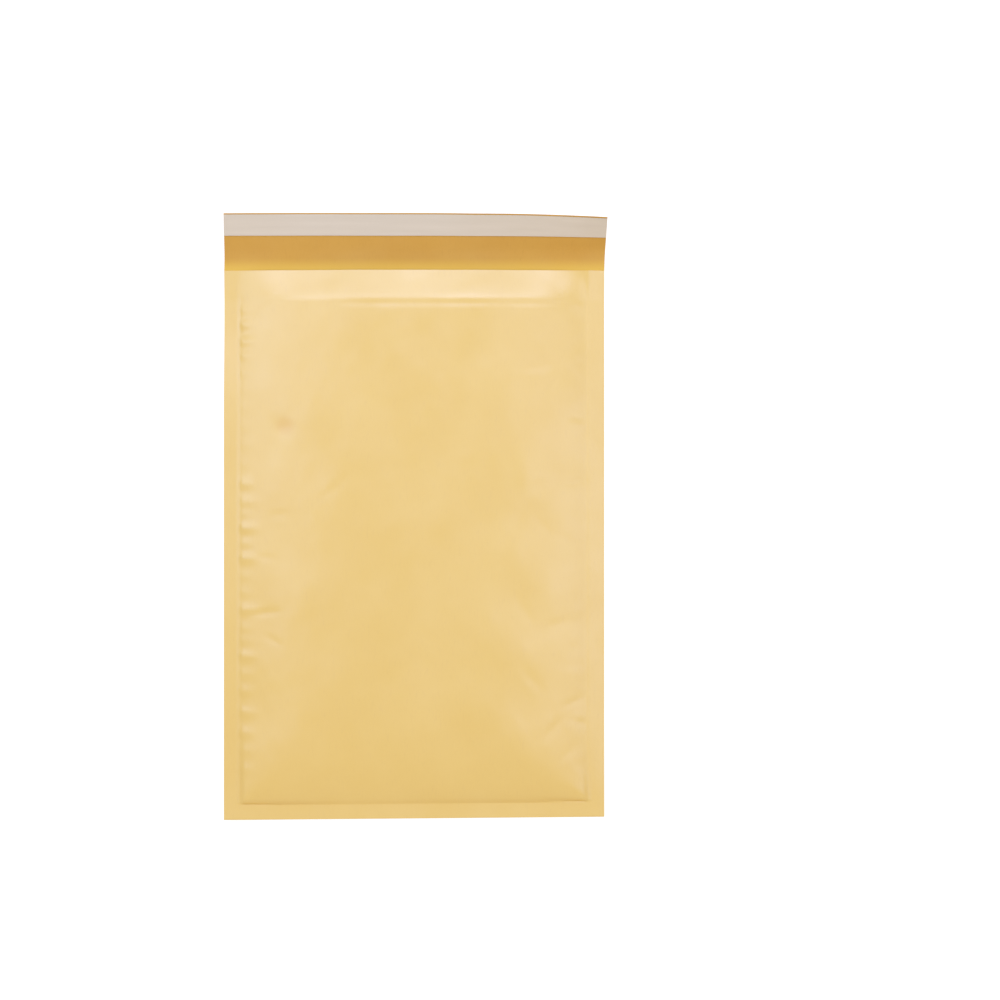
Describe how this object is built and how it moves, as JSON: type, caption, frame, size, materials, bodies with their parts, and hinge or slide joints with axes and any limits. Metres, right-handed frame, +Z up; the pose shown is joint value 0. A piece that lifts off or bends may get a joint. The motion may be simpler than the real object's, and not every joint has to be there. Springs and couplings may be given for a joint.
{
  "type": "padded envelope",
  "caption": "Padded mailing envelope of folded brown paper with a bubble film pocket, an open mouth, side seams and a self-seal flap under release paper.",
  "frame": {"origin": "on the surface that the envelope lies on, under the middle of the two panels", "axes": "+X across the envelope, +Y from the folded bottom towards the flap, +Z up out of the front panel"},
  "size_m": [0.25, 0.3979, 0.0152],
  "materials": {
    "paper": "golden brown wrapping paper, smooth machine-glazed face, faint fibres",
    "bubble_film": "clear polyethylene film with round 10 mm air bubbles",
    "adhesive": "thin tacky film of pressure-sensitive adhesive",
    "release_paper": "pale silicone-coated paper with a satin face"
  },
  "bodies": {
    "root": {"paper_cover": "paper", "bubble_lining": "bubble_film", "adhesive_strip": "adhesive", "release_liner": "release_paper"}
  },
  "joints": []
}
